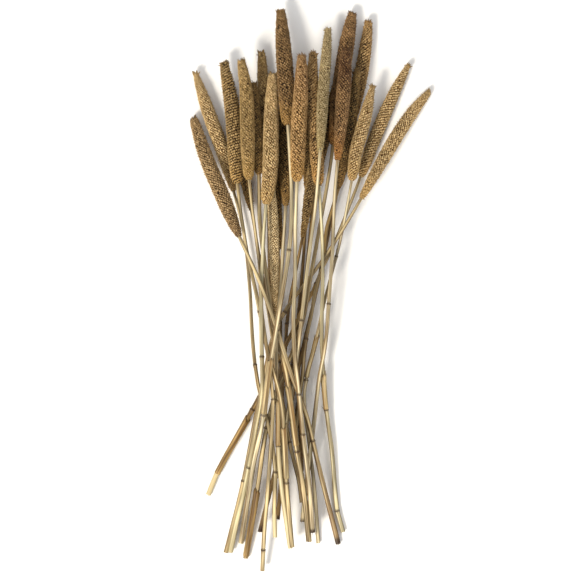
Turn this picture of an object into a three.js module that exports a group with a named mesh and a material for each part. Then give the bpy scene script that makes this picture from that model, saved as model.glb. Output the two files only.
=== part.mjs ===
// Bundle of dried pearl millet: 25 seed spikes on straw culms, untied, crossed at the waist and
// lying on a flat surface. Millimetres, +Z up, spike tips towards +Y and cut feet towards -Y.
import * as THREE from 'three';

// ---- Driving dimensions -----------------------------------------------------------------------
const bundleLength = 703;     // from the highest spike tip to the lowest cut foot
const bundleWidth = 305;      // across the two outermost spike tips
const spikeDiameter = 18;     // an average spike at its belly
const neckDiameter = 4.3;     // an average culm just below its spike
const footDiameter = 6.4;     // the same culm at its cut foot
const jointSwelling = 0.55;   // how far a joint ring stands proud of its culm
const jointLength = 7;        // length of a joint ring along the culm
const sheathWall = 0.6;       // thickness of a dry leaf sheath
const clearance = 0.35;       // gap between any two pieces

// ---- Fineness ---------------------------------------------------------------------------------
const spikeSides = 10;
const culmSides = 6;
const culmStep = 27;          // distance between two rings of a culm
const contactStep = 3;        // distance between two places where a stalk is tested for contact
const springLength = 90;      // how stiff a lying stalk is: it bends over a length of about this
const sweeps = 3000;          // rounds of settling for each stalk
const rounding = 1e-6;        // two places along a stalk closer than this are the same place

// ---- Outline of a spike: shares of its own length and of its own belly radius ------------------
const spikeShares = [0, 0.03, 0.1, 0.22, 0.36, 0.5, 0.64, 0.78, 0.9, 0.97, 1];
const baseShare = 0.38;       // radius where the spike meets its culm
const stout = 0.35;           // how fast it swells from there to its belly: less is faster
const slender = 0.65;
// From the belly on: the radius just before the tip closes, and how late the spike narrows to it.
const blunt = { tip: 0.55, taper: 2.9 };
const rounded = { tip: 0.47, taper: 2.8 };
const pointed = { tip: 0.36, taper: 2.8 };

// ---- The stalks, from the bottom of the pile to the top ----------------------------------------
// spike: its centre line from tip to neck; culm: from below the neck to the cut foot. Both were
// drawn on a sheet of the width and length below. girth and stem compare this stalk's spike and
// culm with the average ones; belly is the widest place and joints the rings, as shares of the
// length from the neck. base is how a spike starts, stout where it isn't named, and end is the
// shape of its tip, blunt where it isn't named. colour is the spike's own, straw the culm's.
const drawnWidth = 305;
const drawnLength = 703;
const stalks = [
  { name: '21', girth: 0.78, belly: 0.4, stem: 0.85, joints: [0.5],
    colour: 0x4a3a22, straw: 0x8a7648,
    spike: [[-47, 210], [-45, 148], [-42, 92], [-40, 49]],
    culm: [[-38, -13], [-37, -87], [-35, -162], [-31, -231]] },
  { name: '05', girth: 0.9, belly: 0.4, stem: 0.9, joints: [0.45],
    colour: 0x7d6a44, straw: 0x8a7648,
    spike: [[-61, 297], [-58, 235], [-55, 185], [-53, 142]],
    culm: [[-52, 86], [-51, 18], [-46, -63], [-41, -130], [-34, -205], [-33, -268]] },
  { name: '19', girth: 0.8, belly: 0.4, stem: 0.85, joints: [0.52],
    colour: 0x4f3f26, straw: 0x6b5530,
    spike: [[-7, 278], [-6, 223], [-4, 173], [-3, 123]],
    culm: [[-6, 80], [-12, -1], [-21, -87], [-30, -174], [-41, -287]] },
  { name: '24', girth: 0.82, belly: 0.4, stem: 0.85, joints: [0.48],
    colour: 0x5a4a2c, straw: 0x7c683e,
    spike: [[31, 254], [20, 198], [12, 167], [5, 126]],
    culm: [[2, 92], [-6, 12], [-14, -63], [-15, -125], [-12, -187], [-11, -228]] },
  { name: '18', girth: 0.72, belly: 0.45, base: slender, stem: 0.85, joints: [0.4],
    colour: 0x8d744a, straw: 0x6e5732,
    spike: [[12, 216], [4, 161], [-3, 111], [-10, 64]],
    culm: [[-19, 20], [-28, -28], [-31, -69], [-36, -137], [-39, -205]] },
  { name: '13', girth: 0.95, belly: 0.45, stem: 0.9, joints: [0.35, 0.72],
    colour: 0x8f7c55, straw: 0x7a6438,
    spike: [[73, 335], [69, 303], [62, 260], [48, 199]],
    culm: [[36, 136], [21, 61], [5, -13], [-11, -81], [-29, -162], [-45, -230], [-63, -302]] },
  { name: '25', girth: 0.82, belly: 0.4, base: slender, stem: 1, joints: [0.3, 0.72],
    sheath: [0.73, 0.93], colour: 0x5c4b30, straw: 0xb09a66,
    spike: [[58, 272], [53, 228], [47, 185], [35, 126]],
    culm: [[20, 74], [15, 27], [4, -1], [-12, -29], [-25, -59], [-43, -92], [-64, -135],
      [-119, -235], [-128, -258]] },
  { name: '15', girth: 0.92, belly: 0.45, end: pointed, stem: 0.85, joints: [0.64],
    colour: 0xb79f6e, straw: 0x9a8250,
    spike: [[123, 281], [102, 239], [82, 192], [63, 141]],
    culm: [[46, 97], [28, 53], [10, 14], [1, -32], [-7, -70], [-9, -102], [-15, -143],
      [-19, -187]] },
  { name: '14', girth: 0.95, belly: 0.4, end: pointed, stem: 0.78, joints: [0.2, 0.56],
    sheath: [0.42, 0.545], colour: 0xc9b07c, straw: 0xd0bd88,
    spike: [[77, 252], [67, 210], [57, 173], [51, 135]],
    culm: [[43, 90], [33, 44], [19, -9], [7, -63], [-7, -120], [-7, -147], [-1, -197], [5, -250],
      [10, -318]] },
  { name: '16', girth: 0.94, belly: 0.5, base: slender, end: pointed, stem: 0.9,
    joints: [0.36, 0.8], colour: 0xb9a273, straw: 0x8f7644,
    spike: [[151, 250], [129, 223], [104, 185], [63, 113]],
    culm: [[46, 84], [27, 54], [1, 17], [-26, -18], [-46, -56], [-58, -110], [-70, -167],
      [-84, -241], [-106, -330]] },
  { name: '22', girth: 0.84, belly: 0.4, base: slender, stem: 0.8, joints: [0.8],
    colour: 0x5d4c30, straw: 0xb7a069,
    spike: [[-102, 252], [-91, 185], [-83, 145], [-74, 99]],
    culm: [[-66, 55], [-57, -1], [-48, -56], [-40, -108], [-32, -156], [-25, -197], [-15, -236],
      [-11, -266]] },
  { name: '20', girth: 0.7, belly: 0.62, base: slender, stem: 0.8, joints: [0.5],
    colour: 0xc3a875, straw: 0xb39c68,
    spike: [[-50, 136], [-47, 99], [-45, 49], [-44, -1], [-45, -34]],
    culm: [[-44, -75], [-42, -137], [-41, -186], [-40, -224]] },
  { name: '17', girth: 1.1, belly: 0.6, end: rounded, stem: 1, joints: [0.69],
    sheath: [0.83, 0.995], colour: 0x8a5a36, straw: 0xa78d58,
    spike: [[53, 348], [44, 298], [35, 240], [28, 179]],
    culm: [[21, 132], [11, 76], [0, 15], [-10, -40], [-25, -85], [-45, -135], [-56, -179],
      [-66, -249], [-81, -337]] },
  { name: '10', girth: 0.98, belly: 0.35, stem: 0.95, joints: [0.65, 0.94], sheath: [0.53, 0.64],
    colour: 0x8e7a55, straw: 0xcdb985,
    spike: [[3, 294], [2, 247], [5, 192], [10, 127]],
    culm: [[14, 68], [15, 12], [14, -56], [17, -122], [20, -153], [27, -203], [34, -280],
      [41, -304]] },
  { name: '11', girth: 0.8, belly: 0.45, base: slender, stem: 0.9, joints: [0.52],
    colour: 0xb9ab88, straw: 0xcdbd8c,
    spike: [[22, 324], [19, 285], [15, 235], [11, 167]],
    culm: [[6, 105], [-2, 43], [-9, -17], [-16, -75], [-25, -137], [-32, -181], [-37, -218],
      [-38, -234]] },
  { name: '02', girth: 0.98, belly: 0.45, base: slender, end: pointed, stem: 0.85,
    joints: [0.51, 0.82], colour: 0xc0a873, straw: 0xb99e63,
    spike: [[-144, 271], [-128, 223], [-110, 173], [-96, 123]],
    culm: [[-84, 74], [-76, 6], [-72, -63], [-66, -113], [-50, -179], [-43, -231], [-45, -261],
      [-44, -308]] },
  { name: '12', girth: 1, belly: 0.55, base: slender, stem: 0.92, joints: [0.4],
    colour: 0x8a5a36, straw: 0xcdb67f,
    spike: [[44, 299], [42, 262], [38, 215], [33, 159]],
    culm: [[29, 105], [27, 46], [23, -11], [19, -65], [11, -110], [3, -179], [-5, -242],
      [-10, -290]] },
  { name: '23', girth: 0.84, belly: 0.4, stem: 1.1, joints: [0.745], sheath: [0.56, 0.735],
    colour: 0x5b4a2d, straw: 0xc4af7b,
    spike: [[-71, 256], [-68, 210], [-66, 173], [-64, 142]],
    culm: [[-63, 84], [-57, 34], [-50, -17], [-42, -60], [-35, -81], [-29, -112], [-22, -162],
      [-17, -198], [-7, -262], [-2, -314]] },
  { name: '08', girth: 0.95, belly: 0.4, base: slender, stem: 0.95, joints: [0.35, 0.705],
    sheath: [0.56, 0.695], colour: 0x5e4b2c, straw: 0xd6c898,
    spike: [[-32, 257], [-32, 210], [-32, 179], [-31, 104]],
    culm: [[-34, 55], [-37, 6], [-41, -50], [-42, -94], [-40, -149], [-40, -197], [-35, -251],
      [-25, -322]] },
  { name: '03', girth: 1.1, belly: 0.35, stem: 0.95, joints: [0.36, 0.82], sheath: [0.66, 0.81],
    colour: 0x9c8659, straw: 0xb79f69,
    spike: [[-108, 283], [-99, 235], [-94, 185], [-91, 131]],
    culm: [[-86, 92], [-78, 42], [-66, -11], [-55, -69], [-37, -137], [-31, -213], [-30, -238],
      [-23, -320]] },
  { name: '04', girth: 1, belly: 0.4, stem: 0.85, joints: [0.55, 0.95],
    colour: 0xc2a668, straw: 0xab9356,
    spike: [[-86, 283], [-80, 247], [-78, 198], [-76, 135]],
    culm: [[-68, 68], [-63, 27], [-61, -19], [-51, -94], [-46, -137], [-48, -174], [-53, -249],
      [-58, -309], [-60, -352]] },
  { name: '06', girth: 1.1, belly: 0.35, stem: 1, joints: [0.42, 0.75],
    colour: 0xc6ae7c, straw: 0xd9ca9a,
    spike: [[-47, 268], [-49, 198], [-50, 148], [-55, 105]],
    culm: [[-58, 68], [-60, 18], [-61, -25], [-60, -87], [-60, -125], [-68, -174], [-82, -249],
      [-91, -286], [-100, -329]] },
  { name: '01', girth: 1.06, belly: 0.35, base: slender, stem: 1, joints: [0.3, 0.66],
    colour: 0x8a7650, straw: 0xb29a66,
    spike: [[-147, 216], [-131, 167], [-110, 117], [-88, 65]],
    culm: [[-64, 12], [-45, -39], [-24, -104], [-6, -154], [11, -224], [35, -319]] },
  { name: '07', girth: 1.17, belly: 0.35, end: rounded, stem: 1.05, joints: [0.3, 0.69],
    sheath: [0.55, 0.68], colour: 0x7b6440, straw: 0xdacb9b,
    spike: [[-37, 350], [-33, 291], [-30, 247], [-28, 202]],
    culm: [[-24, 133], [-24, 80], [-28, 37], [-36, -11], [-45, -63], [-53, -112], [-58, -157],
      [-71, -218], [-87, -318]] },
  { name: '09', girth: 1.08, belly: 0.35, stem: 1, joints: [0.61, 0.725],
    colour: 0xa37a48, straw: 0xcdb27a,
    spike: [[-11, 288], [-12, 247], [-15, 198], [-17, 132]],
    culm: [[-19, 74], [-19, 22], [-21, -25], [-20, -75], [-15, -125], [-9, -183], [-3, -231],
      [3, -302]] },
];

// ---- Centre lines ------------------------------------------------------------------------------
// A stalk is measured along its centre line from the tip of its spike; its culm starts just below
// the spike and has a number of equal steps. A station is one ring of the finished solids: its
// place, its radius, and the radius of whatever is wrapped round it there.
const lookups = 40;

function spikeRadius(stalk, share) {
  const belly = spikeDiameter * stalk.girth / 2;
  const { tip, taper } = stalk.end ?? blunt;
  if (share < stalk.belly) {
    const rise = Math.sin(Math.PI / 2 * share / stalk.belly) ** (stalk.base ?? stout);
    return belly * (baseShare + (1 - baseShare) * rise);
  }
  const fall = ((share - stalk.belly) / (1 - stalk.belly)) ** taper;
  return belly * (1 - (1 - tip) * fall);
}

function culmRadius(stalk, share) {
  return stalk.stem * THREE.MathUtils.lerp(neckDiameter, footDiameter, share) / 2;
}

function centreLine(stalk) {
  const points = [...stalk.spike, ...stalk.culm].map(([x, y]) =>
    new THREE.Vector3(x * bundleWidth / drawnWidth, y * bundleLength / drawnLength, 0));
  const curve = new THREE.CatmullRomCurve3(points, false, 'centripetal');
  curve.arcLengthDivisions = lookups * (points.length - 1);
  const lengths = curve.getLengths();
  const length = lengths.at(-1);
  const spikeLength = lengths[lookups * (stalk.spike.length - 1)];
  const start = spikeLength + clearance;
  const steps = Math.round((length - start) / culmStep);
  return { curve, length, spikeLength, start, steps };
}

function spikeStationsOf(stalk, { curve, length, spikeLength }) {
  const stations = spikeShares.map((share) => ({
    along: spikeLength * (1 - share),
    radius: share === 1 ? 0 : spikeRadius(stalk, share),
    place: curve.getPointAt(spikeLength * (1 - share) / length),
  }));
  return stations.reverse();
}

// The culm bends only at evenly spaced rings. Joint rings and the ends of a sheath are added on
// the straight lines between them, so they change the culm's thickness and not its course.
function culmStationsOf(stalk, { curve, length, start, steps }) {
  const culmLength = length - start;
  const bends = Array.from({ length: steps + 1 }, (_, i) => ({
    share: i / steps,
    place: curve.getPointAt(Math.min((start + culmLength * i / steps) / length, 1)),
  }));
  const half = jointLength / 2 / culmLength;
  const added = stalk.joints.flatMap((joint) => [
    { share: joint - half, swell: 0 },
    { share: joint, swell: jointSwelling },
    { share: joint + half, swell: 0 },
  ]);
  for (const share of stalk.sheath ?? []) {
    added.push({ share, swell: 0 });
  }
  for (const station of added) {
    const before = Math.min(Math.floor(station.share * steps), steps - 1);
    const mix = station.share * steps - before;
    station.place = new THREE.Vector3().lerpVectors(bends[before].place, bends[before + 1].place, mix);
  }
  const [from, to] = stalk.sheath ?? [Infinity, Infinity];
  return [...bends, ...added].sort((a, b) => a.share - b.share).map(({ share, place, swell = 0 }) => {
    const radius = culmRadius(stalk, share) + swell;
    const wrapped = share >= from && share <= to;
    const outer = wrapped ? radius + clearance + sheathWall : radius;
    return { along: start + culmLength * share, radius, outer, wrapped, place };
  });
}

function lineOf(stalk) {
  const line = centreLine(stalk);
  const { length, start, steps } = line;
  const knots = [0];
  for (let i = 0; i <= steps; i += 1) {
    knots.push(start + (length - start) * i / steps);
  }
  return { spike: spikeStationsOf(stalk, line), culm: culmStationsOf(stalk, line), knots };
}

// ---- Laying the pile ---------------------------------------------------------------------------
// Each stalk is laid on the surface and on the stalks already there. It is a springy rod: its spike
// stays straight, its culm bends a little at every knot, and its weight presses all of it down.
function contactPoints(stations) {
  const found = [];
  stations.slice(1).forEach((b, i) => {
    const a = stations[i];
    const parts = Math.max(1, Math.ceil((b.along - a.along) / contactStep));
    for (let j = 0; j <= parts; j += 1) {
      found.push({
        along: THREE.MathUtils.lerp(a.along, b.along, j / parts),
        outer: THREE.MathUtils.lerp(a.outer ?? a.radius, b.outer ?? b.radius, j / parts),
        place: new THREE.Vector3().lerpVectors(a.place, b.place, j / parts),
      });
    }
  });
  return found;
}

function supportHeight(point, laid) {
  let height = point.outer;
  for (const other of laid) {
    const reach = point.outer + other.outer + clearance;
    const apart = Math.hypot(point.place.x - other.place.x, point.place.y - other.place.y);
    if (apart < reach) {
      height = Math.max(height, other.place.z + Math.sqrt(reach * reach - apart * apart));
    }
  }
  return height;
}

// The rod's resistance to bending, and the pull of its weight, as one matrix over its knots.
function rodMatrix(knots) {
  const matrix = knots.map(() => new Array(knots.length).fill(0));
  knots.forEach((knot, k) => {
    const before = k > 0 ? knot - knots[k - 1] : 0;
    const after = k + 1 < knots.length ? knots[k + 1] - knot : 0;
    const share = (before + after) / 2;
    matrix[k][k] += share;
    if (before === 0 || after === 0) {
      return;
    }
    const bend = [1 / before, -1 / before - 1 / after, 1 / after];
    for (let i = 0; i < 3; i += 1) {
      for (let j = 0; j < 3; j += 1) {
        matrix[k - 1 + i][k - 1 + j] += springLength ** 4 * bend[i] * bend[j] / share;
      }
    }
  });
  return matrix;
}

// Heights of the knots: sweep over them, each moving to where its spring is at rest, but never so
// low that the rod cuts a support.
function restHeights(knots, supports) {
  const matrix = rodMatrix(knots);
  const own = knots.map(() => []);
  for (const { along, height } of supports) {
    let k = knots.findIndex((knot) => knot >= along);
    k = Math.max(k, 1);
    const mix = (along - knots[k - 1]) / (knots[k] - knots[k - 1]);
    if (mix < 0.5) {
      own[k - 1].push({ other: k, weight: 1 - mix, height });
    } else {
      own[k].push({ other: k - 1, weight: mix, height });
    }
  }
  const floor = footDiameter / 2;
  const heights = knots.map(() => Math.max(...supports.map((support) => support.height)));
  for (let sweep = 0; sweep < sweeps; sweep += 1) {
    knots.forEach((_, k) => {
      let force = 0;
      matrix[k].forEach((value, i) => {
        force += value * (heights[i] - floor);
      });
      let height = heights[k] - force / matrix[k][k];
      for (const { other, weight, height: support } of own[k]) {
        height = Math.max(height, (support - (1 - weight) * heights[other]) / weight);
      }
      heights[k] = height;
    });
  }
  return heights;
}

function layPile(lines) {
  const laid = [];
  for (const { spike, culm, knots } of lines) {
    const points = contactPoints([...spike, ...culm]);
    const supports = points.map((point) => ({ along: point.along, height: supportHeight(point, laid) }));
    const heights = restHeights(knots, supports);
    const heightAt = (along) => {
      const k = Math.max(knots.findIndex((knot) => knot >= along - rounding), 1);
      const mix = (along - knots[k - 1]) / (knots[k] - knots[k - 1]);
      return THREE.MathUtils.lerp(heights[k - 1], heights[k], mix);
    };
    for (const item of [...spike, ...culm, ...points]) {
      item.place.z = heightAt(item.along);
    }
    laid.push(...points);
    setHeadings(spike, culm);
  }
}

// Each ring faces along the line through its neighbours. The spike's last ring and the culm's first
// lie face to face, so they share one heading.
function setHeadings(spike, culm) {
  const stations = [...spike, ...culm.slice(1)];
  stations.forEach((station, i) => {
    const before = stations[Math.max(i - 1, 0)].place;
    const after = stations[Math.min(i + 1, stations.length - 1)].place;
    station.heading = new THREE.Vector3().subVectors(after, before).normalize();
  });
  culm[0].heading = spike.at(-1).heading;
}

// ---- Solids ------------------------------------------------------------------------------------
// A lathed shape is made with its ring numbers as heights; bending moves each ring to its station.
const upright = new THREE.Vector3(0, 0, 1);

function bendAlong(geometry, stations) {
  const position = geometry.attributes.position;
  for (let i = 0; i < position.count; i += 1) {
    const { place, heading } = stations[Math.round(position.getY(i))];
    const side = new THREE.Vector3().crossVectors(heading, upright).normalize();
    const up = new THREE.Vector3().crossVectors(side, heading);
    const point = place.clone();
    point.addScaledVector(side, position.getX(i)).addScaledVector(up, position.getZ(i));
    position.setXYZ(i, point.x, point.y, point.z);
  }
  geometry.computeVertexNormals();
  return geometry;
}

function solidOf(stations, sides) {
  const profile = stations.map((station, ring) => new THREE.Vector2(station.radius, ring));
  if (stations[0].radius > 0) {
    profile.unshift(new THREE.Vector2(0, 0));
  }
  profile.push(new THREE.Vector2(0, stations.length - 1));
  return bendAlong(new THREE.LatheGeometry(profile, sides), stations);
}

function sheathOf(stations, sides) {
  const outside = stations.map((station, ring) => new THREE.Vector2(station.outer, ring));
  const inside = stations.map((station, ring) => new THREE.Vector2(station.outer - sheathWall, ring));
  const profile = [...outside, ...inside.reverse(), outside[0].clone()];
  return bendAlong(new THREE.LatheGeometry(profile, sides), stations);
}

function addPiece(group, name, geometry, colour, roughness) {
  const material = new THREE.MeshStandardMaterial({ color: colour, roughness, metalness: 0 });
  const mesh = new THREE.Mesh(geometry, material);
  mesh.name = name;
  group.add(mesh);
}

const spikeRoughness = 0.95;
const culmRoughness = 0.6;
const sheathColour = 0xb99a5c;

const bundle = new THREE.Group();
const lines = stalks.map(lineOf);
layPile(lines);
stalks.forEach((stalk, i) => {
  const { spike, culm } = lines[i];
  addPiece(bundle, `spike_${stalk.name}`, solidOf(spike, spikeSides), stalk.colour, spikeRoughness);
  addPiece(bundle, `culm_${stalk.name}`, solidOf(culm, culmSides), stalk.straw, culmRoughness);
  if (stalk.sheath) {
    const wrapped = culm.filter((station) => station.wrapped);
    addPiece(bundle, `sheath_${stalk.name}`, sheathOf(wrapped, culmSides), sheathColour, culmRoughness);
  }
});

// The bundle stands on z = 0 with the middle of its footprint at the origin.
const box = new THREE.Box3().setFromObject(bundle);
const middle = box.getCenter(new THREE.Vector3());
bundle.position.set(-middle.x, -middle.y, -box.min.z);
bundle.updateMatrixWorld(true);

export default bundle;
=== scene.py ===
import math
import random

import bpy
import numpy as np
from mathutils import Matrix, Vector


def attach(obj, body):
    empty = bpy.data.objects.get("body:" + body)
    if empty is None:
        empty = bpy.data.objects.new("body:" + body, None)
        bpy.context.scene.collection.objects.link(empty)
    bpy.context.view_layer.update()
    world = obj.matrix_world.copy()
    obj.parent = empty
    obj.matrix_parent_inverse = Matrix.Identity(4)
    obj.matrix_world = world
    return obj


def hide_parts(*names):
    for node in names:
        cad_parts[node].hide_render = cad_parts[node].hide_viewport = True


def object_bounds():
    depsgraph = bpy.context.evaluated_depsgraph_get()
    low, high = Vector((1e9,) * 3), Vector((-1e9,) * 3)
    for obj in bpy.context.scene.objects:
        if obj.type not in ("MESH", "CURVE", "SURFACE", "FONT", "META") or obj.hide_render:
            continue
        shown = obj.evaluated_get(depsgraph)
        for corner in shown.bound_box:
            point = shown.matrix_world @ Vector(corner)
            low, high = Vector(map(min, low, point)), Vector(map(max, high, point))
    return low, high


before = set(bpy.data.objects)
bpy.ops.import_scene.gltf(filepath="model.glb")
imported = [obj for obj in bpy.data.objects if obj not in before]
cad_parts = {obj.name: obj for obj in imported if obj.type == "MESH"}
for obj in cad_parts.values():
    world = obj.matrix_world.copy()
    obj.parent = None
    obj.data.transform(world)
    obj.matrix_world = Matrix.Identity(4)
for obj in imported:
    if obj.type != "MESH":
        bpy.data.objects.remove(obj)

MM = 0.001
cad_low, cad_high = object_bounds()

# ---- Floor, light and camera -------------------------------------------------------------------
# The bundle lies on a plain pale floor and is looked down on from straight above. A large soft
# lamp stands off to the lower left at about 45 degrees, so the right flanks fall into shade.


def to_linear(hex_colour):
    """An sRGB hex colour as the linear RGBA that a socket takes."""
    shares = [int(hex_colour[i:i + 2], 16) / 255 for i in (1, 3, 5)]
    return [s / 12.92 if s <= 0.04045 else ((s + 0.055) / 1.055) ** 2.4 for s in shares] + [1.0]


def add(tree, kind, inputs=None, **settings):
    """Adds a node. settings are its properties; inputs are its values or the sockets that feed it."""
    node = tree.nodes.new(kind)
    for name, value in settings.items():
        setattr(node, name, value)
    for name, value in (inputs or {}).items():
        if isinstance(value, bpy.types.NodeSocket):
            tree.links.new(value, node.inputs[name])
        else:
            node.inputs[name].default_value = value
    return node


def new_material(name):
    """An empty material and its node tree, with only the output in it."""
    material = bpy.data.materials.new(name)
    material.use_nodes = True
    material.node_tree.nodes.clear()
    return material, material.node_tree


def finish_material(tree, shader):
    output = add(tree, "ShaderNodeOutputMaterial")
    tree.links.new(shader.outputs[0], output.inputs["Surface"])


view_width = 717 * MM
view_middle = Vector((-26.8 * MM, 1.6 * MM, 0))
camera_height = 2.4
camera_reach = 20
sensor_width = 36
view_height = 30 * MM         # the view is as wide as view_width at this height above the floor
floor_half = 4

camera_data = bpy.data.cameras.new("camera")
camera = bpy.data.objects.new("camera", camera_data)
bpy.context.scene.collection.objects.link(camera)
camera.location = view_middle + Vector((0, 0, camera_height))
camera_data.sensor_width = sensor_width
camera_data.lens = sensor_width * (camera_height - view_height) / view_width
camera_data.clip_end = camera_reach
bpy.context.scene.camera = camera
bpy.context.scene.view_settings.view_transform = "Standard"

floor_mesh = bpy.data.meshes.new("floor")
floor_corners = [(x * floor_half, y * floor_half, 0) for x, y in ((-1, -1), (1, -1), (1, 1), (-1, 1))]
floor_mesh.from_pydata(floor_corners, [], [(0, 1, 2, 3)])
floor = bpy.data.objects.new("floor", floor_mesh)
bpy.context.scene.collection.objects.link(floor)
paper, tree = new_material("matt_white_paper")
finish_material(tree, add(tree, "ShaderNodeBsdfPrincipled", {
    "Base Color": to_linear("#fbfaf8"), "Roughness": 0.9}))
floor_mesh.materials.append(paper)

for name, spot, size, watts, tint in [
        ("key", (-2.4, -2.9, 3.6), 1.3, 310, "#fff8ec"),
        ("fill", (2.4, 1.8, 3.2), 2.4, 16, "#f4f8ff")]:
    lamp_data = bpy.data.lights.new(name, "AREA")
    lamp_data.size = size
    lamp_data.energy = watts
    lamp_data.color = to_linear(tint)[:3]
    lamp = bpy.data.objects.new(name, lamp_data)
    lamp.location = spot
    lamp.rotation_euler = (-Vector(spot)).to_track_quat("-Z", "Y").to_euler()
    bpy.context.scene.collection.objects.link(lamp)

world = bpy.data.worlds.new("soft_room")
world.use_nodes = True
world.node_tree.nodes["Background"].inputs["Color"].default_value = to_linear("#ffffff")
world.node_tree.nodes["Background"].inputs["Strength"].default_value = 0.68
bpy.context.scene.world = world

# ---- Seed spikes -------------------------------------------------------------------------------
# Each head is a woody rod packed all round with small husked seeds in winding rows, with short
# stiff hairs between them and a frayed tuft of hairs at the tip. It has dried on its own culm.


ends_tried = 14               # the places nearest +Y that may be the end point of a lathed solid


def rings_of(node):
    """Middle and radius of each ring of a lathed solid, from its end nearest +Y to its other end."""
    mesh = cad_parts[node].data
    places, index = [], {}
    merged = []
    for vertex in mesh.vertices:
        key = tuple(round(c, 6) for c in vertex.co)
        if key not in index:
            index[key] = len(places)
            places.append(Vector(key))
        merged.append(index[key])
    neighbours = [set() for _ in places]
    for polygon in mesh.polygons:
        corners = [merged[v] for v in polygon.vertices]
        for a in corners:
            neighbours[a].update(b for b in corners if b != a)
    for start in sorted(range(len(places)), key=lambda i: -places[i].y)[:ends_tried]:
        layers, seen = [[start]], {start}
        while layers[-1]:
            following = {b for a in layers[-1] for b in neighbours[a]} - seen
            seen |= following
            layers.append(sorted(following))
        layers.pop()
        sizes = {len(layer) for layer in layers[1:-1]}
        if len(sizes) == 1 and len(layers[-1]) == 1 and min(sizes) > 4:
            break
    else:
        raise ValueError(f"{node} is not a lathed solid")
    rings = []
    for layer in layers:
        middle = sum((places[i] for i in layer), Vector()) / len(layer)
        radius = sum((places[i] - middle).length for i in layer) / len(layer)
        rings.append((middle, radius))
    return rings


def smooth_line(rings, step):
    """The same line with a ring about every step, on a smooth curve through the given rings."""
    fine = []
    last = len(rings) - 1
    for i in range(last):
        near = [rings[max(i - 1, 0)], rings[i], rings[i + 1], rings[min(i + 2, last)]]
        points = [np.array((*middle, radius)) for middle, radius in near]
        gaps = [max(np.linalg.norm(b[:3] - a[:3]), 1e-5) for a, b in zip(points, points[1:])]
        span = gaps[1]
        into = (points[2] - points[0]) / (gaps[0] + span) * span
        out = (points[3] - points[1]) / (span + gaps[2]) * span
        count = max(1, round(span / step))
        for j in range(count):
            t = j / count
            point = ((2 * t ** 3 - 3 * t ** 2 + 1) * points[1] + (t ** 3 - 2 * t ** 2 + t) * into
                     + (3 * t ** 2 - 2 * t ** 3) * points[2] + (t ** 3 - t ** 2) * out)
            fine.append((Vector(point[:3]), max(float(point[3]), 0.0)))
    fine.append(rings[-1])
    return fine


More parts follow.
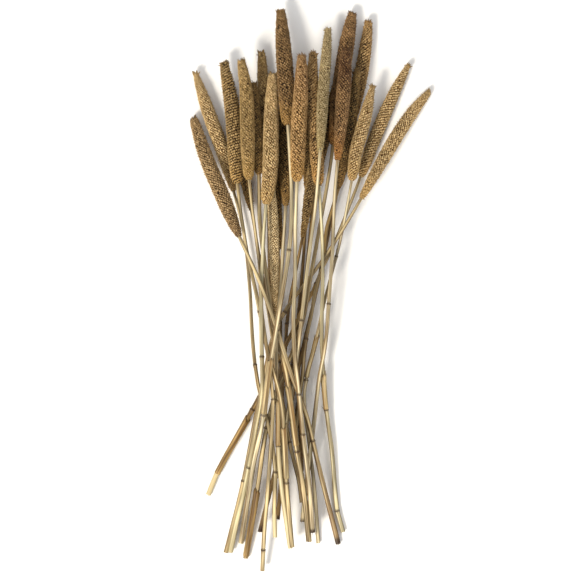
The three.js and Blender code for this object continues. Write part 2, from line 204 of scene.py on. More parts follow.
def seed_rows_tree():
    """Core rod, winding rows of seeds, loose hairs and a tip tuft, along a line that has a girth."""
    tree = bpy.data.node_groups.new("seed_rows", "GeometryNodeTree")
    tree.interface.new_socket("Geometry", in_out="OUTPUT", socket_type="NodeSocketGeometry")
    for name, kind in [
            ("Geometry", "NodeSocketGeometry"), ("Seeds", "NodeSocketInt"),
            ("Turn", "NodeSocketFloat"), ("Seed width", "NodeSocketFloat"),
            ("Seed length", "NodeSocketFloat"), ("Belly", "NodeSocketFloat"),
            ("Bare", "NodeSocketFloat"), ("Hairs", "NodeSocketInt"),
            ("Tuft hairs", "NodeSocketInt"), ("Tuft length", "NodeSocketFloat"),
            ("Shuffle", "NodeSocketInt"), ("Husk", "NodeSocketMaterial")]:
        tree.interface.new_socket(name, in_out="INPUT", socket_type=kind)
    given = add(tree, "NodeGroupInput").outputs

    def sum_of(a, b, operation="ADD"):
        return add(tree, "ShaderNodeMath", {0: a, 1: b}, operation=operation).outputs[0]

    def chance(low, high, salt):
        return add(tree, "FunctionNodeRandomValue", {
            2: low, 3: high, "Seed": sum_of(given["Shuffle"], salt)}, data_type="FLOAT").outputs[1]

    def keep(geometry, name, value):
        return add(tree, "GeometryNodeStoreNamedAttribute", {
            "Geometry": geometry, "Name": name, "Value": value},
            data_type="FLOAT", domain="POINT").outputs[0]

    girth = add(tree, "GeometryNodeInputNamedAttribute", {"Name": "girth"}, data_type="FLOAT")
    line = add(tree, "GeometryNodeMeshToCurve", {"Mesh": given["Geometry"]})
    line = add(tree, "GeometryNodeSetCurveRadius", {
        "Curve": line.outputs[0], "Radius": girth.outputs[0]}).outputs[0]
    circle = add(tree, "GeometryNodeCurvePrimitiveCircle", {"Resolution": 16, "Radius": 0.8})
    core = add(tree, "GeometryNodeCurveToMesh", {
        "Curve": line, "Profile Curve": circle.outputs[0], "Scale": girth.outputs[0],
        "Fill Caps": True}).outputs[0]
    # The core rod is marked rise 0, so the husk paints it with its pit colour, a painted shade
    # between the seeds.
    core = keep(core, "rise", 0.0)

    def scatter(count, share, angle, offset, tipward):
        """Points standing on the rod, the way that each faces, and the rod's radius there."""
        spot = add(tree, "GeometryNodeSampleCurve", {
            "Curves": line, "Value": add(tree, "GeometryNodeInputRadius").outputs[0],
            "Factor": share}, data_type="FLOAT", mode="FACTOR").outputs
        across = add(tree, "ShaderNodeVectorMath", {
            0: spot["Tangent"], 1: spot["Normal"]}, operation="CROSS_PRODUCT").outputs[0]
        first = add(tree, "ShaderNodeVectorMath", {
            0: spot["Normal"], "Scale": sum_of(angle, 0.0, "COSINE")}, operation="SCALE")
        second = add(tree, "ShaderNodeVectorMath", {
            0: across, "Scale": sum_of(angle, 0.0, "SINE")}, operation="SCALE")
        outward = add(tree, "ShaderNodeVectorMath", {
            0: first.outputs[0], 1: second.outputs[0]}, operation="ADD").outputs[0]
        place = add(tree, "ShaderNodeVectorMath", {
            0: outward, 1: sum_of(spot["Value"], offset), 2: spot["Position"]},
            operation="MULTIPLY_ADD").outputs[0]
        points = add(tree, "GeometryNodePoints", {"Count": count, "Position": place}).outputs[0]
        lean = add(tree, "ShaderNodeVectorMath", {
            0: spot["Tangent"], "Scale": tipward}, operation="SCALE")
        facing = add(tree, "ShaderNodeVectorMath", {
            0: outward, 1: lean.outputs[0]}, operation="SUBTRACT")
        facing = add(tree, "FunctionNodeAlignRotationToVector", {
            "Vector": facing.outputs[0]}, axis="Z").outputs[0]
        return points, facing, spot["Value"]

    # Seeds, one after another round the rod, each a fixed turn on from the one before.
    index = add(tree, "GeometryNodeInputIndex").outputs[0]
    share = sum_of(sum_of(index, chance(-2.5, 2.5, 1)), given["Seeds"], "DIVIDE")
    angle = sum_of(sum_of(index, given["Turn"], "MULTIPLY"), chance(-0.07, 0.07, 2))
    plump = chance(0.8, 1.2, 5)
    half = sum_of(sum_of(plump, given["Seed length"], "MULTIPLY"), -0.44, "MULTIPLY")
    points, facing, radius = scatter(
        given["Seeds"], share, angle, sum_of(half, chance(-0.25 * MM, 0.25 * MM, 3)),
        chance(0.1, 0.8, 4))
    slimness = sum_of(sum_of(radius, given["Belly"], "DIVIDE"), 0.35, "POWER")
    size = sum_of(slimness, plump, "MULTIPLY")
    ball = add(tree, "GeometryNodeMeshUVSphere", {"Segments": 7, "Rings": 5, "Radius": 0.5})
    shape = add(tree, "ShaderNodeSeparateXYZ", {
        0: add(tree, "GeometryNodeInputPosition").outputs[0]}).outputs
    # rise runs from 0 at a seed's foot to 1 at its top: the husk paints shade low on a seed and a
    # highlight high on it.
    seed = keep(ball.outputs[0], "rise", sum_of(shape["Z"], 0.5))
    # A husked seed is widest above its middle and narrows towards its foot.
    width = sum_of(sum_of(sum_of(shape["Z"], 0.5, "MULTIPLY"), 1.0), given["Seed width"], "MULTIPLY")
    egg = add(tree, "ShaderNodeCombineXYZ", {
        0: sum_of(shape["X"], width, "MULTIPLY"), 1: sum_of(shape["Y"], width, "MULTIPLY"),
        2: sum_of(shape["Z"], given["Seed length"], "MULTIPLY")})
    seed = add(tree, "GeometryNodeSetPosition", {
        "Geometry": seed, "Position": egg.outputs[0]}).outputs[0]
    present = add(tree, "FunctionNodeCompare", {
        0: chance(0.0, 1.0, 7), 1: given["Bare"]}, data_type="FLOAT", operation="GREATER_THAN")
    points = keep(keep(points, "tone", chance(0.0, 1.0, 6)), "along", share)
    seeds = add(tree, "GeometryNodeInstanceOnPoints", {
        "Points": points, "Selection": present.outputs[0], "Instance": seed,
        "Rotation": facing, "Scale": size}).outputs[0]

    # Hairs between the seeds, and a longer tuft over the last of the tip.
    tufts = []
    for count, share, sunk, thick, length, tipward in [
            (given["Hairs"], chance(0.0, 1.0, 11), chance(-1.8 * MM, -1.2 * MM, 16), 0.4 * MM,
             chance(0.8, 1.5, 12), chance(0.0, 1.0, 13)),
            (given["Tuft hairs"], sum_of(chance(0.0, 1.0, 21), 0.025, "MULTIPLY"),
             chance(-2.6 * MM, -0.6 * MM, 24), 0.55 * MM,
             sum_of(chance(0.3, 1.0, 22), given["Tuft length"], "MULTIPLY"),
             chance(0.2, 4.0, 23))]:
        points, facing, radius = scatter(
            count, share, chance(0.0, math.tau, 14), sunk, tipward)
        points = keep(keep(points, "tone", chance(0.2, 1.0, 15)), "along", share)
        blade = add(tree, "GeometryNodeMeshCone", {
            "Vertices": 3, "Radius Top": 0.0, "Radius Bottom": thick, "Depth": 2.6 * MM},
            fill_type="NGON").outputs[0]
        # Hairs are marked rise 0.7, so they take a little of the husk's painted pit shade.
        tufts.append(add(tree, "GeometryNodeInstanceOnPoints", {
            "Points": points, "Instance": keep(blade, "rise", 0.7), "Rotation": facing,
            "Scale": length}).outputs[0])

    joined = add(tree, "GeometryNodeJoinGeometry")
    for part in (core, seeds, *tufts):
        tree.links.new(part, joined.inputs[0])
    whole = add(tree, "GeometryNodeRealizeInstances", {"Geometry": joined.outputs[0]})
    whole = add(tree, "GeometryNodeSetShadeSmooth", {"Geometry": whole.outputs[0]})
    whole = add(tree, "GeometryNodeSetMaterial", {
        "Geometry": whole.outputs[0], "Material": given["Husk"]})
    result = add(tree, "NodeGroupOutput")
    tree.links.new(whole.outputs[0], result.inputs[0])
    return tree


def dried_husk(name, pit_shade, coat, crown_highlight, foot, tip=None):
    """Dried seed husk: dull and papery, with painted shade in the gaps between seeds and a painted
    highlight on their crowns.

    The seeds vary in tone, drift in patches a few centimetres long, and turn to foot, the colour
    of the larger seeds next to the culm, over the last of the spike. A spike given a tip colour
    turns to it over its upper third.
    """
    material, tree = new_material(name)
    read = {attribute: add(tree, "ShaderNodeAttribute", attribute_name=attribute).outputs["Fac"]
            for attribute in ("rise", "tone", "along")}
    at = add(tree, "ShaderNodeTexCoord").outputs["Object"]
    patch = add(tree, "ShaderNodeTexNoise", {
        "Vector": at, "Scale": 1 / 0.022, "Detail": 2.0}).outputs["Fac"]
    drift = add(tree, "ShaderNodeMapRange", {
        "Value": patch, "From Min": 0.35, "From Max": 0.65, "To Min": 0.86, "To Max": 1.1})
    near_foot = add(tree, "ShaderNodeMapRange", {
        "Value": read["along"], "From Min": 0.72, "From Max": 1.0, "To Max": 0.75},
        interpolation_type="SMOOTHSTEP")
    lower = add(tree, "ShaderNodeMix", {
        0: near_foot.outputs[0], 6: to_linear(coat), 7: to_linear(foot)}, data_type="RGBA")
    near_tip = add(tree, "ShaderNodeMapRange", {
        "Value": read["along"], "From Min": 0.45, "From Max": 0.2}, interpolation_type="SMOOTHSTEP")
    skin = add(tree, "ShaderNodeMix", {
        0: near_tip.outputs[0], 6: lower.outputs[2], 7: to_linear(tip or coat)}, data_type="RGBA")
    # Painted shade: the foot of each seed and the core rod take the pit colour, as if in shadow
    # between the seeds.
    height = add(tree, "ShaderNodeMapRange", {
        "Value": read["rise"], "From Min": 0.35, "From Max": 0.8}, interpolation_type="SMOOTHSTEP")
    low = add(tree, "ShaderNodeMix", {
        0: height.outputs[0], 6: to_linear(pit_shade), 7: skin.outputs[2]}, data_type="RGBA")
    # Painted highlight: the top of each seed turns towards the crown colour, more on some seeds than
    # on others.
    crown_highlight_mask = add(tree, "ShaderNodeMapRange", {
        "Value": read["rise"], "From Min": 0.8, "From Max": 1.0})
    pale = add(tree, "ShaderNodeMath", {
        0: crown_highlight_mask.outputs[0], 1: read["tone"]}, operation="MULTIPLY")
    high = add(tree, "ShaderNodeMix", {
        0: pale.outputs[0], 6: low.outputs[2], 7: to_linear(crown_highlight)}, data_type="RGBA")
    seed_tone = add(tree, "ShaderNodeMapRange", {
        "Value": read["tone"], "To Min": 0.74, "To Max": 1.12})
    value = add(tree, "ShaderNodeMath", {
        0: drift.outputs[0], 1: seed_tone.outputs[0]}, operation="MULTIPLY")
    colour = add(tree, "ShaderNodeHueSaturation", {
        "Value": value.outputs[0], "Color": high.outputs[2]})
    fine = add(tree, "ShaderNodeTexNoise", {"Vector": at, "Scale": 1 / (0.5 * MM), "Detail": 2.0})
    bump = add(tree, "ShaderNodeBump", {
        "Height": fine.outputs["Fac"], "Distance": 0.12 * MM, "Strength": 0.6})
    finish_material(tree, add(tree, "ShaderNodeBsdfPrincipled", {
        "Base Color": colour.outputs[0], "Roughness": 0.78, "Specular IOR Level": 0.3,
        "Normal": bump.outputs[0]}))
    return material


# Each husk is pit, coat, crown, foot and tip colour: the pit colour is painted shade between the
# seeds, and the crown colour is a painted highlight on their tops.
husks = {
    "sand": dried_husk("sand_husk", "#684a26", "#bf9f6c", "#e6cf9f", "#cba463"),
    # The cream husk is spike 20's own pale colour, made paler still as painted light where the spikes
    # above shade it.
    "cream": dried_husk("cream_painted_light_husk", "#7d5e36", "#e0c593", "#f7e6bd", "#dcbb7e"),
    "ochre": dried_husk("ochre_husk", "#472f13", "#a18351", "#cfb27b", "#b69150"),
    "grey": dried_husk("grey_husk", "#66502c", "#ab966b", "#d3c197", "#b9a26a"),
    "brown": dried_husk("brown_husk", "#382610", "#9c7e4e", "#d2b480", "#c29a58"),
    # This husk's foot colour is painted shade: spike 01 turns dark brown over its lower seeds, as if
    # they lay in shadow.
    "painted_shade_foot": dried_husk("painted_shade_foot_husk", "#38250f", "#a08257", "#d2b487", "#64482a"),
    "umber": dried_husk("umber_husk", "#2b1b0a", "#84653d", "#b8966a", "#b98f4c"),
    "amber": dried_husk("amber_husk", "#4b3012", "#ac8653", "#d8b480", "#c99a52", "#977248"),
    "rust": dried_husk("rust_husk", "#301c0b", "#8e6b43", "#bf9a6b", "#a87536"),
    "tawny": dried_husk("tawny_husk", "#3c2811", "#ab8755", "#dcba84", "#c8964e"),
    # This husk darkens over the upper third of its spike.
    "dark_tipped": dried_husk("dark_tipped_husk", "#2a1809", "#8a6942", "#bb966a", "#b77a34", "#5e3e20"),
    # The shade husk is for the spikes that lie under the others: partly their own darker husk, partly
    # painted shade.
    "shade": dried_husk("dark_painted_shade_husk", "#281a0a", "#7c6136", "#ab8d5c", "#a07a42"),
}

# Husk, seed spacing in millimetres, and how steeply its rows wind, in degrees: where none is given,
# the seeds stand a golden angle apart and no row stands out. The seeds are coarse, so that their
# rows show from a distance.
spikes = {
    "01": ("painted_shade_foot", 2.7, None), "02": ("sand", 2.6, None), "03": ("brown", 2.8, 14),
    "04": ("ochre", 2.6, None), "05": ("brown", 2.7, None), "06": ("sand", 2.7, None),
    "07": ("umber", 2.8, None), "08": ("shade", 2.7, None), "09": ("amber", 2.8, None),
    "10": ("tawny", 2.8, 38), "11": ("grey", 2.5, None), "12": ("dark_tipped", 2.7, None),
    "13": ("tawny", 2.7, 40), "14": ("sand", 2.7, 36), "15": ("sand", 2.6, 30),
    "16": ("sand", 2.5, None), "17": ("rust", 2.7, None), "18": ("brown", 2.6, None),
    "19": ("shade", 2.7, None), "20": ("cream", 2.4, None), "21": ("shade", 2.7, None),
    "22": ("shade", 2.7, None), "23": ("shade", 2.7, None), "24": ("shade", 2.7, None),
    "25": ("shade", 2.7, None),
}


def shown(name, mesh, body, node):
    """Puts a finished mesh in the scene as the piece that stands for a CAD node."""
    piece = bpy.data.objects.new(name, mesh)
    bpy.context.scene.collection.objects.link(piece)
    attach(piece, body)
    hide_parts(node)


def kept_inside(mesh):
    """Presses what stands out of the bundle's own box back to its faces."""
    places = np.empty(len(mesh.vertices) * 3, np.float32)
    mesh.vertices.foreach_get("co", places)
    places = places.reshape(-1, 3)
    np.clip(places, np.array(cad_low), np.array(cad_high), out=places)
    mesh.vertices.foreach_set("co", places.ravel())
    mesh.update()


seed_width, seed_length = 0.97, 1.2     # as shares of the spacing
row_pitch, along_pitch = 1.1, 0.9       # between rows and along a row, as shares of the spacing
crowding = 1.1                # seeds set for each place on a spike without rows
bare_share = 0.006            # seeds that have dropped off
hairs_each = 0.7              # hairs for each seed
tuft_hairs, tuft_length = 46, 2.3
cut_short = ("01", "07", "12", "16", "17")      # the tips at the bundle's edges, and 12

rows_tree = seed_rows_tree()
socket = {item.name: item.identifier for item in rows_tree.interface.items_tree
          if item.in_out == "INPUT"}
for name, (husk, spacing, slope) in spikes.items():
    rings = rings_of("spike_" + name)[:-1]
    # The tip is a blunt, rounded stub, so its first ring isn't closed to a point. Tips at the
    # bundle's edges stop shorter, so that less of their tufts is pressed back to its box.
    short = 0.5 if name in cut_short else 0.12
    rings[:1] = [(rings[0][0].lerp(rings[1][0], short), rings[1][1] * 0.6),
                 (rings[0][0].lerp(rings[1][0], short + 0.38), rings[1][1] * 0.9)]
    line = smooth_line(rings, 4 * MM)
    length = sum((b[0] - a[0]).length for a, b in zip(line, line[1:]))
    belly = max(radius for _, radius in line)
    mean = sum(radius for _, radius in line) / len(line)
    spacing = spacing * MM
    seeds = int(math.tau * mean * length / spacing ** 2 * crowding)
    turn = math.pi * (3 - math.sqrt(5))
    if slope is not None:
        # Several rows wind side by side, so each seed stands one row on from the one before.
        slope = math.radians(slope)
        around = math.tau * mean
        starts = max(1, round(around * math.sin(slope) / (spacing * row_pitch)))
        turn = math.tau / starts * (1 + spacing * along_pitch * math.cos(slope) / around)
        seeds = int(length * starts / (spacing * along_pitch * math.sin(slope)))
    path = bpy.data.meshes.new("path")
    path.from_pydata([tuple(place) for place, _ in line],
                     [(i, i + 1) for i in range(len(line) - 1)], [])
    girth = path.attributes.new("girth", "FLOAT", "POINT")
    girth.data.foreach_set("value", [radius for _, radius in line])
    working = bpy.data.objects.new("path", path)
    bpy.context.scene.collection.objects.link(working)
    rows = working.modifiers.new("rows", "NODES")
    rows.node_group = rows_tree
    rows[socket["Seeds"]] = seeds
    rows[socket["Turn"]] = turn
    rows[socket["Seed width"]] = spacing * seed_width
    rows[socket["Seed length"]] = spacing * seed_length
    rows[socket["Belly"]] = belly
    rows[socket["Bare"]] = bare_share
    rows[socket["Hairs"]] = int(seeds * hairs_each)
    rows[socket["Tuft hairs"]] = tuft_hairs
    rows[socket["Tuft length"]] = tuft_length
    rows[socket["Shuffle"]] = int(name) * 100
    rows[socket["Husk"]] = husks[husk]
    evaluated = working.evaluated_get(bpy.context.evaluated_depsgraph_get())
    mesh = bpy.data.meshes.new_from_object(evaluated)
    mesh.name = "seeds_" + name
    bpy.data.objects.remove(working)
    kept_inside(mesh)
    shown("seeds_" + name, mesh, "root", "spike_" + name)

# ---- Straw culms -------------------------------------------------------------------------------
# Each culm is the dried stalk of the grass: a glossy fibrous straw with a dark swollen ring at
# each joint, light pith inside, and a square cut at its foot.


def dry_straw(name, light, dark):
    """Sun-dried straw: a waxy skin over fibres, so streaked along its length and a little glossy."""
    material, tree = new_material(name)
    fibre = add(tree, "ShaderNodeAttribute", attribute_name="fibre").outputs["Vector"]
    read = {attribute: add(tree, "ShaderNodeAttribute", attribute_name=attribute).outputs["Fac"]
            for attribute in ("joint", "pith", "age")}
    # Fibre bundles are about half a millimetre wide and run unbroken for several centimetres. They
    # are drawn three times as wide, so that they show from a distance.
    stretched = add(tree, "ShaderNodeMapping", {
        "Vector": fibre, "Scale": (1 / (1.6 * MM), 1 / (1.6 * MM), 1 / (90 * MM))})
    streaks = add(tree, "ShaderNodeTexNoise", {
        "Vector": stretched.outputs[0], "Scale": 1.0, "Detail": 3.0, "Roughness": 0.6})
    streaks = add(tree, "ShaderNodeMapRange", {
        "Value": streaks.outputs["Fac"], "From Min": 0.4, "From Max": 0.62})
    broad = add(tree, "ShaderNodeMapping", {
        "Vector": fibre, "Scale": (1 / (4 * MM), 1 / (4 * MM), 1 / (70 * MM))})
    weather = add(tree, "ShaderNodeTexNoise", {"Vector": broad.outputs[0], "Scale": 1.0})
    weather = add(tree, "ShaderNodeMapRange", {
        "Value": weather.outputs["Fac"], "From Min": 0.38, "From Max": 0.66,
        "To Min": 0.4, "To Max": 1.14})
    skin = add(tree, "ShaderNodeMix", {
        0: streaks.outputs[0], 6: to_linear(dark), 7: to_linear(light)}, data_type="RGBA")
    skin = add(tree, "ShaderNodeHueSaturation", {
        "Value": weather.outputs[0], "Color": skin.outputs[2]})
    aged = add(tree, "ShaderNodeMapRange", {"Value": read["age"], "To Max": 0.8})
    skin = add(tree, "ShaderNodeMix", {
        0: aged.outputs[0], 6: skin.outputs[0], 7: to_linear("#6f4c22")}, data_type="RGBA")
    faded = add(tree, "ShaderNodeMapRange", {
        "Value": read["age"], "From Min": 0.0, "From Max": -1.0, "To Max": 0.85})
    skin = add(tree, "ShaderNodeMix", {
        0: faded.outputs[0], 6: skin.outputs[2], 7: to_linear("#cfbf94")}, data_type="RGBA")
    # Mould specks up to about three millimetres long.
    spots = add(tree, "ShaderNodeTexVoronoi", {
        "Vector": add(tree, "ShaderNodeMapping", {
            "Vector": fibre, "Scale": (1 / (6 * MM), 1 / (6 * MM), 1 / (14 * MM))}).outputs[0],
        "Scale": 1.0})
    spots = add(tree, "ShaderNodeMapRange", {
        "Value": spots.outputs["Distance"], "From Min": 0.1, "From Max": 0.05, "To Max": 0.55})
    skin = add(tree, "ShaderNodeMix", {
        0: spots.outputs[0], 6: skin.outputs[2], 7: to_linear("#4a3116")}, data_type="RGBA")
    ringed = add(tree, "ShaderNodeMix", {
        0: read["joint"], 6: skin.outputs[2], 7: to_linear("#2f1b09")}, data_type="RGBA")
    inside = add(tree, "ShaderNodeMix", {
        0: read["pith"], 6: ringed.outputs[2], 7: to_linear("#b79f68")}, data_type="RGBA")
    bump = add(tree, "ShaderNodeBump", {
        "Height": streaks.outputs[0], "Distance": 0.1 * MM, "Strength": 0.8})
    finish_material(tree, add(tree, "ShaderNodeBsdfPrincipled", {
        "Base Color": inside.outputs[2], "Roughness": 0.5, "Specular IOR Level": 0.35,
        "Normal": bump.outputs[0]}))
    return material


straws = {
    "pale": dry_straw("pale_straw", "#f3e4ba", "#86663a"),
    "green": dry_straw("greenish_straw", "#ece0b4", "#867046"),
    "straw": dry_straw("straw_skin", "#e8d29e", "#73542a"),
    "ochre": dry_straw("ochre_straw", "#cfac6c", "#6c4c20"),
    # The brown straw is for the culms that lie lowest in the bundle: partly their own darker straw,
    # partly painted shade.
    "brown": dry_straw("brown_painted_shade_straw", "#bb9a62", "#4a3216"),
}
sides = 18


def walk(line):
    """Distance of each place of a line from its first."""
    distances = [0.0]
    for (a, _), (b, _) in zip(line, line[1:]):
        distances.append(distances[-1] + (b - a).length)
    return distances


def at_distance(line, distances, wanted):
    """Middle, radius and heading of a line at a distance along it."""
    i = int(np.clip(np.searchsorted(distances, wanted) - 1, 0, len(line) - 2))
    t = (wanted - distances[i]) / (distances[i + 1] - distances[i])
    middle = line[i][0].lerp(line[i + 1][0], t)
    radius = line[i][1] * (1 - t) + line[i + 1][1] * t
    heading = (line[min(i + 2, len(line) - 1)][0] - line[max(i - 1, 0)][0]).normalized()
    return middle, radius, heading


def tube(name, rings, slivers, material):
    """A closed tube with slivers standing off it, each a thin closed spike with its own marks.

    A ring is its middle, heading, a radius for each side, and its marks.
    """
    vertices, faces, marks = [], [], []
    for middle, heading, radii, mark in rings:
        side = heading.cross(Vector((0, 0, 1))).normalized()
        up = side.cross(heading)
        for k, radius in enumerate(radii):
            angle = math.tau * k / sides
            shift = mark.get("shift", [0.0] * sides)[k]
            vertices.append(middle + radius * (math.cos(angle) * side + math.sin(angle) * up)
                            + heading * shift)
            marks.append((radius * math.cos(angle), radius * math.sin(angle), mark["along"],
                          mark.get("joint", 0.0), mark.get("pith", 0.0), mark.get("age", 0.0)))
    for i in range(len(rings) - 1):
        for k in range(sides):
            a, b = i * sides + k, i * sides + (k + 1) % sides
            faces.append((b, a, a + sides, b + sides))
    faces.append(tuple(range(sides)))
    faces.append(tuple(range(len(vertices) - sides, len(vertices)))[::-1])
    for root, tip, width, mark in slivers:
        heading = (tip - root).normalized()
        side = heading.cross(Vector((0, 0, 1))).normalized()
        up = side.cross(heading)
        a, b, c, point = range(len(vertices), len(vertices) + 4)
        for angle in (0, math.tau / 3, 2 * math.tau / 3):
            vertices.append(root + width / 2 * (math.cos(angle) * side + math.sin(angle) * up))
        vertices.append(tip)
        marks += [(width, width, mark["along"], mark.get("joint", 0.0), 0.0,
                   mark.get("age", 0.0))] * 4
        faces += [(a, b, c), (b, a, point), (c, b, point), (a, c, point)]
    mesh = bpy.data.meshes.new(name)
    mesh.from_pydata(vertices, [], faces)
    fibre = mesh.attributes.new("fibre", "FLOAT_VECTOR", "POINT")
    fibre.data.foreach_set("vector", [c for mark in marks for c in mark[:3]])
    for column, attribute in enumerate(("joint", "pith", "age"), 3):
        values = mesh.attributes.new(attribute, "FLOAT", "POINT")
        values.data.foreach_set("value", [mark[column] for mark in marks])
    mesh.polygons.foreach_set("use_smooth", [True] * len(mesh.polygons))
    mesh.materials.append(material)
    mesh.update()
    return mesh


# Straw, how deep the cut end is hollow in millimetres, and where the skin is faded or browned: a
# list of (share of the length, age) from -1, cream, to 1, brown.
culms = {
    "01": ("straw", 0.6, [(0.0, 0.0), (0.5, 0.1), (0.78, 0.2), (0.85, 0.55), (1.0, 0.95)]),
    "02": ("straw", 0.6, [(0.0, 0.0), (0.93, 0.0), (0.935, -0.8), (1.0, -0.8)]),
    "03": ("straw", 0.6, [(0.0, 0.0), (1.0, 0.1)]),
    "04": ("straw", 0.6, [(0.0, 0.1), (1.0, 0.1)]),
    "05": ("brown", 0.6, [(0.0, 0.0), (1.0, 0.3)]),
    "06": ("green", 9.0, [(0.0, 0.0), (0.5, -0.1), (1.0, -0.5)]),
    "07": ("pale", 0.8, [(0.0, -0.1), (0.5, 0.0), (1.0, 0.0)]),
    "08": ("pale", 1.5, [(0.0, 0.2), (0.6, 0.0), (0.75, -0.7), (1.0, -0.8)]),
    "09": ("pale", 0.8, [(0.0, -0.1), (1.0, 0.2)]),
    "10": ("green", 0.8, [(0.0, 0.0), (1.0, 0.1)]),
    "11": ("pale", 0.6, [(0.0, -0.2), (1.0, 0.0)]),
    "12": ("pale", 0.6, [(0.0, 0.4), (0.2, 0.1), (1.0, 0.0)]),
    "13": ("brown", 0.6, [(0.0, 0.2), (1.0, 0.2)]),
    "14": ("pale", 0.6, [(0.0, 0.0), (1.0, 0.0)]),
    "15": ("straw", 0.6, [(0.0, 0.1), (1.0, 0.3)]),
    "16": ("straw", 0.6, [(0.0, 0.2), (1.0, 0.3)]),
    "17": ("straw", 0.8, [(0.0, 0.3), (0.6, 0.1), (1.0, 0.2)]),
    "18": ("brown", 0.6, [(0.0, 0.2), (1.0, 0.3)]),
    "19": ("brown", 0.6, [(0.0, 0.2), (1.0, 0.5)]),
    "20": ("straw", 0.6, [(0.0, 0.0), (1.0, 0.2)]),
    "21": ("brown", 0.6, [(0.0, 0.0), (1.0, 0.3)]),
    "22": ("straw", 0.6, [(0.0, 0.1), (1.0, 0.2)]),
    "23": ("straw", 0.8, [(0.0, 0.1), (1.0, 0.0)]),
    "24": ("brown", 0.6, [(0.0, 0.0), (1.0, 0.3)]),
    "25": ("ochre", 0.8, [(0.0, 0.1), (0.9, 0.0), (0.93, -0.9), (1.0, -0.9)]),
}
# How far up from its cut a foot is bruised dark, in millimetres.
bruised = {"01": 11, "09": 5, "12": 4, "13": 9, "19": 6}
# Stubs of torn-off leaves, in millimetres long, each at its culm's first joint.
stubs = {"10": 7, "11": 4, "03": 4, "07": 3}
# Dark splinters at a foot that was torn and not cut, in millimetres long.
splinters = {"09": [4, 6, 8, 9], "06": [3, 4], "01": [3, 4]}
ring_step, joint_step = 3 * MM, 0.5 * MM        # between two rings, and close to a joint
joint_reach = 5 * MM
loose_fibres = 6              # at each cut
culm_lines = {}
for name, (straw, hollow, ages) in culms.items():
    rings = rings_of("culm_" + name)[1:-1]
    swollen = [i for i in range(1, len(rings) - 1)
               if rings[i][1] > (rings[i - 1][1] + rings[i + 1][1]) / 2 + 0.3 * MM]
    line = smooth_line([ring for i, ring in enumerate(rings) if i not in swollen], 5 * MM)
    distances = walk(line)
    total = distances[-1]
    culm_lines[name] = (line, distances)
    joints = [distances[min(range(len(line)), key=lambda i: (line[i][0] - rings[j][0]).length)]
              for j in swollen]
    spots = set(np.arange(0, total, ring_step)) | {total}
    for joint in joints:
        spots |= set(np.arange(joint - joint_reach, joint + joint_reach, joint_step))
    spots = sorted(float(spot) for spot in spots if 0 <= spot <= total)
    chooser = random.Random(int(name))
    ribs = [(count, chooser.uniform(0, math.tau), chooser.uniform(0.006, 0.014))
            for count in (2, 3, 5, 7)]
    ripple = [(chooser.uniform(40, 90) * MM, chooser.uniform(0, math.tau)) for _ in range(3)]
    darkness = [chooser.uniform(0.75, 1.0) for _ in joints]
    finished = []
    middle, radius, heading = at_distance(line, distances, 0.0)
    finished.append((middle - heading * 6 * MM, heading, [radius * 0.9] * sides, {"along": -6 * MM}))
    for spot in spots:
        middle, radius, heading = at_distance(line, distances, spot)
        radius *= 1 + 0.012 * sum(math.sin(spot / wave * math.tau + start)
                                  for wave, start in ripple)
        dark = 0.0
        for joint, darkest in zip(joints, darkness):
            past = (spot - joint) / MM
            radius += MM * (0.5 * math.exp(-(past / 1.3) ** 2)
                            + 0.22 * math.exp(-((past - 2.2) / 2.0) ** 2)
                            - 0.28 * math.exp(-((past + 1.7) / 0.6) ** 2))
            dark = max(dark, darkest * math.exp(-(past / 1.1) ** 2),
                       0.6 * darkest * math.exp(-((past + 1.8) / 0.7) ** 2))
        if name in bruised:
            dark = max(dark, 0.95 * min(max(1 - (total - spot) / MM / bruised[name], 0) * 2, 1))
        radii = [radius * (1 + sum(depth * math.cos(count * math.tau * k / sides + start)
                                   for count, start, depth in ribs)) for k in range(sides)]
        age = float(np.interp(spot / total, *zip(*ages)))
        finished.append((middle, heading, radii, {"along": spot, "joint": dark, "age": age}))
    # The cut: a thin wall round light pith that has shrunk back, or round an empty bore.
    tilt = chooser.uniform(0, math.tau)
    shift = [0.35 * MM * math.cos(math.tau * k / sides - tilt)
             + chooser.uniform(-0.15, 0.15) * MM for k in range(sides)]
    middle, radius, heading = at_distance(line, distances, total)
    finished[-1][3]["shift"] = shift
    for inner, depth in [(0.8, 0.0), (0.74, hollow * 0.5), (0.7, hollow), (0.25, hollow * 1.02)]:
        finished.append((middle - heading * depth * MM, heading, [radius * inner] * sides,
                         {"along": total, "pith": 1.0, "shift": shift if depth == 0 else
                          [0.0] * sides}))
    # Loose fibres and splinters round the cut, and the stub of a torn-off leaf at a joint.
    slivers = []
    for length, mark in ([(chooser.uniform(0.8, 2.4), {"along": total}) for _ in range(loose_fibres)]
                         + [(length, {"along": total, "joint": 0.9})
                            for length in splinters.get(name, [])]):
        angle = chooser.uniform(0, math.pi)
        side = heading.cross(Vector((0, 0, 1))).normalized()
        out = math.cos(angle) * side + math.sin(angle) * side.cross(heading)
        root = middle + out * radius * 0.9 - heading * 1.5 * MM
        tip = root + heading * (length + 1.5) * MM + out * chooser.uniform(-0.1, 0.25) * length * MM
        slivers.append((root, tip, (0.4 + 0.08 * length) * MM, mark))
    if name in stubs:
        middle, radius, heading = at_distance(line, distances, joints[0])
        side = heading.cross(Vector((0, 0, 1))).normalized()
        root = middle + side * radius * 0.8
        slivers.append((root, root + (side * 0.55 - heading * 0.85) * stubs[name] * MM, 1.6 * MM,
                        {"along": joints[0], "age": 0.8}))
    mesh = tube("straw_" + name, finished, slivers, straws[straw])
    kept_inside(mesh)
    shown("straw_" + name, mesh, "root", "culm_" + name)

# ---- Leaf sheaths ------------------------------------------------------------------------------
# Some culms keep the dry sheath of the leaf that grew at a joint: a papery sleeve, split down one
# side with one edge lapped over the other, and torn where the leaf blade broke away.

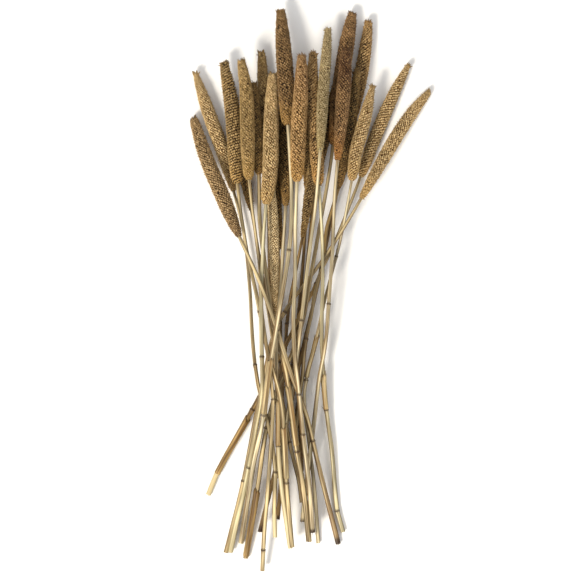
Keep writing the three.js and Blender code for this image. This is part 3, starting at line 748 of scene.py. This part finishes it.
papery = dry_straw("papery_sheath", "#c8a76a", "#7d5a2a")
papery_pale = dry_straw("pale_sheath", "#e3cf9c", "#8f6f42")
sheaths = {"03": papery_pale, "07": papery_pale, "08": papery_pale, "10": papery_pale,
           "14": papery_pale, "17": papery, "23": papery_pale, "25": papery}
columns = 26
lap = 1.14                    # turns that a sheath makes round its culm
wall = 0.28 * MM
for name, material in sheaths.items():
    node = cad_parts["sheath_" + name]
    line, distances = culm_lines[name]
    reached = []
    for vertex in node.data.vertices:
        gaps = [(place - vertex.co).length for place, _ in line]
        nearest = min(range(len(line)), key=gaps.__getitem__)
        reached.append(distances[nearest])
    start, stop = min(reached), max(reached)
    chooser = random.Random(int(name) + 50)
    seam = chooser.uniform(0, math.tau)
    rows = max(8, round((stop - start) / (4 * MM)))
    tears = [(count, chooser.uniform(0, math.tau)) for count in (1, 3, 7)]
    torn = [(4 + sum(3.5 / (1 + i) * math.sin(count * math.tau * k / columns + start)
                     for i, (count, start) in enumerate(tears)) + chooser.uniform(-0.5, 0.5)) * MM
            for k in range(columns + 1)]
    vertices, faces, fibres, ages = [], [], [], []
    for i in range(rows + 1):
        share = i / rows
        for k in range(columns + 1):
            # One edge lies on the culm and the other laps over it by about a seventh of a turn.
            turn = k / columns
            angle = seam + turn * math.tau * lap
            spot = start + (stop - start) * share + torn[k] * (1 - share) ** 4
            middle, radius, heading = at_distance(line, distances, spot)
            side = heading.cross(Vector((0, 0, 1))).normalized()
            up = side.cross(heading)
            flare = 0.5 * MM * (1 - share) ** 3
            reach = radius + (0.3 + 0.45 * turn) * MM + flare * (0.5 + turn)
            vertices.append(middle + reach * (math.cos(angle) * side + math.sin(angle) * up))
            fibres.extend((reach * math.cos(angle), reach * math.sin(angle), spot))
            ages.append(0.35 * (1 - share) ** 6)
    for i in range(rows):
        for k in range(columns):
            a = i * (columns + 1) + k
            faces.append((a, a + 1, a + columns + 2, a + columns + 1))
    mesh = bpy.data.meshes.new("sheath")
    mesh.from_pydata(vertices, [], faces)
    fibre = mesh.attributes.new("fibre", "FLOAT_VECTOR", "POINT")
    fibre.data.foreach_set("vector", fibres)
    for attribute, values in (("joint", [0.0] * len(ages)), ("pith", [0.0] * len(ages)),
                              ("age", ages)):
        mesh.attributes.new(attribute, "FLOAT", "POINT").data.foreach_set("value", values)
    mesh.polygons.foreach_set("use_smooth", [True] * len(mesh.polygons))
    mesh.materials.append(material)
    working = bpy.data.objects.new("sheath", mesh)
    bpy.context.scene.collection.objects.link(working)
    thicken = working.modifiers.new("wall", "SOLIDIFY")
    thicken.thickness = wall
    thicken.offset = 0
    evaluated = working.evaluated_get(bpy.context.evaluated_depsgraph_get())
    finished_mesh = bpy.data.meshes.new_from_object(evaluated)
    finished_mesh.name = "sleeve_" + name
    bpy.data.objects.remove(working)
    kept_inside(finished_mesh)
    shown("sleeve_" + name, finished_mesh, "root", "sheath_" + name)
